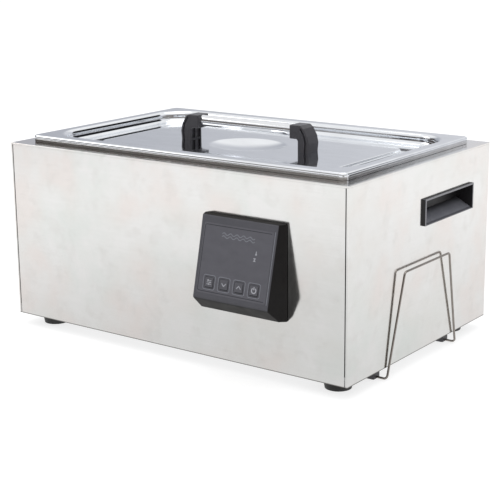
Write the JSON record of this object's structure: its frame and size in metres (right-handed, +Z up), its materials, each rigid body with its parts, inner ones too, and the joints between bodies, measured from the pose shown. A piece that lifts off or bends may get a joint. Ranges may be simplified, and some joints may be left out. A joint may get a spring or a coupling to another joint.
{
  "type": "sous vide water bath",
  "caption": "Countertop water bath for vacuum-bag cooking: brushed steel casing round a deep tank, mirror lid with bar handle, tilted control unit, wire lid rack, pump and drain tap.",
  "frame": {"origin": "middle of the bounding box in plan, on the surface that the feet stand on", "axes": "+X along the length towards the wire rack, -Y the front with the control unit, +Z up"},
  "size_m": [0.5824, 0.4447, 0.304],
  "materials": {
    "brushed_casing": "horizontal brushed grain, satin",
    "tank_steel": "drawn stainless, satin",
    "lid_steel": "mirror-polished stainless",
    "bar_steel": "polished tube",
    "wire_steel": "drawn stainless wire",
    "fastener_steel": "plated steel",
    "zinc_sheet": "galvanised sheet",
    "black_plastic": "fine moulded texture",
    "housing_plastic": "fine moulded texture",
    "grip_plastic": "fine moulded texture",
    "overlay_film": "satin film",
    "key_film": "satin film",
    "display_block": "smoked",
    "board_green": "solder mask",
    "component_black": "moulded",
    "foot_rubber": "moulded rubber",
    "seal_silicone": "silicone",
    "foam_black": "closed-cell foam",
    "jacket_wool": "glass-fibre felt",
    "mat_silicone": "silicone heater mat",
    "pump_plastic": "moulded",
    "motor_steel": "plated can",
    "copper_winding": "enamelled copper",
    "bush_brass": "sintered bronze",
    "impeller_plastic": "moulded",
    "hose_silicone": "silicone tube",
    "valve_brass": "nickel-plated brass",
    "lever_red": "dipped vinyl lever",
    "pin_brass": "plated brass",
    "wire_insulation": "wire insulation"
  },
  "bodies": {
    "casing": {"front_panel": "brushed_casing", "rear_panel": "brushed_casing", "left_side_panel": "brushed_casing", "right_side_panel": "brushed_casing", "top_deck": "brushed_casing", "base_plate": "zinc_sheet", "panel_screws": "fastener_steel", "rubber_feet": "foot_rubber", "base_screws": "fastener_steel", "water_tank": "tank_steel", "tank_rim_seal": "seal_silicone", "tank_insulation": "jacket_wool", "suction_fitting": "valve_brass", "return_fitting": "valve_brass", "drain_fitting": "valve_brass", "suction_strainer": "tank_steel", "heating_mat": "mat_silicone", "thermal_cutout": "component_black", "temperature_probe": "tank_steel", "pump_bracket": "zinc_sheet", "pump_motor_can": "motor_steel", "pump_stator": "copper_winding", "pump_bushes": "bush_brass", "pump_housing": "pump_plastic", "suction_hose": "hose_silicone", "return_hose": "hose_silicone", "drain_hose": "hose_silicone", "drain_valve_body": "valve_brass", "power_inlet": "black_plastic", "inlet_pins": "pin_brass", "fuse_holder": "black_plastic", "switch_bezel": "black_plastic", "power_board": "board_green", "board_components": "component_black", "internal_wiring": "wire_insulation", "control_housing": "housing_plastic", "control_overlay": "overlay_film", "control_board": "board_green", "display_module": "display_block", "key_switches": "component_black", "housing_gasket": "foam_black", "housing_screws": "fastener_steel", "left_side_handle": "grip_plastic", "right_side_handle": "grip_plastic", "rack_clips": "black_plastic"},
    "lid": {"lid": "lid_steel", "left_handle_post": "black_plastic", "right_handle_post": "black_plastic", "lid_handle_bar": "bar_steel", "lid_handle_screws": "fastener_steel"},
    "mode_key": {"mode_key": "key_film"},
    "down_key": {"down_key": "key_film"},
    "up_key": {"up_key": "key_film"},
    "power_key": {"power_key": "key_film"},
    "rack": {"lid_rack": "wire_steel"},
    "drain_tap": {"drain_lever": "lever_red", "drain_ball": "valve_brass"},
    "rocker": {"switch_rocker": "black_plastic"},
    "pump_wheel": {"pump_impeller": "impeller_plastic", "pump_rotor": "motor_steel"}
  },
  "joints": [
    {"name": "lid_lift", "type": "slide", "parent": "casing", "child": "lid", "axis": [0, 0, 1], "range_m": [0, 0.2]},
    {"name": "mode_key_press", "type": "slide", "parent": "casing", "child": "mode_key", "axis": [0, 0.9715, -0.2368], "range_m": [0, 0.0004], "stiffness_N_per_m": 2500},
    {"name": "down_key_press", "type": "slide", "parent": "casing", "child": "down_key", "axis": [0, 0.9715, -0.2368], "range_m": [0, 0.0004], "stiffness_N_per_m": 2500},
    {"name": "up_key_press", "type": "slide", "parent": "casing", "child": "up_key", "axis": [0, 0.9715, -0.2368], "range_m": [0, 0.0004], "stiffness_N_per_m": 2500},
    {"name": "power_key_press", "type": "slide", "parent": "casing", "child": "power_key", "axis": [0, 0.9715, -0.2368], "range_m": [0, 0.0004], "stiffness_N_per_m": 2500},
    {"name": "rack_slide", "type": "slide", "parent": "casing", "child": "rack", "axis": [1, 0, 0], "range_m": [0, 0.045]},
    {"name": "drain_lever_turn", "type": "hinge", "parent": "casing", "child": "drain_tap", "pos_m": [-0.20225, 0.199, 0.077], "axis": [0, 0, 1], "range_deg": [0, 90]},
    {"name": "rocker_tilt", "type": "hinge", "parent": "casing", "child": "rocker", "pos_m": [0.14775, 0.182, 0.077], "axis": [1, 0, 0], "range_deg": [0, 16]},
    {"name": "pump_spin", "type": "hinge", "parent": "casing", "child": "pump_wheel", "pos_m": [0.17275, 0.06, 0.067], "axis": [0, 0, 1], "continuous": true}
  ]
}
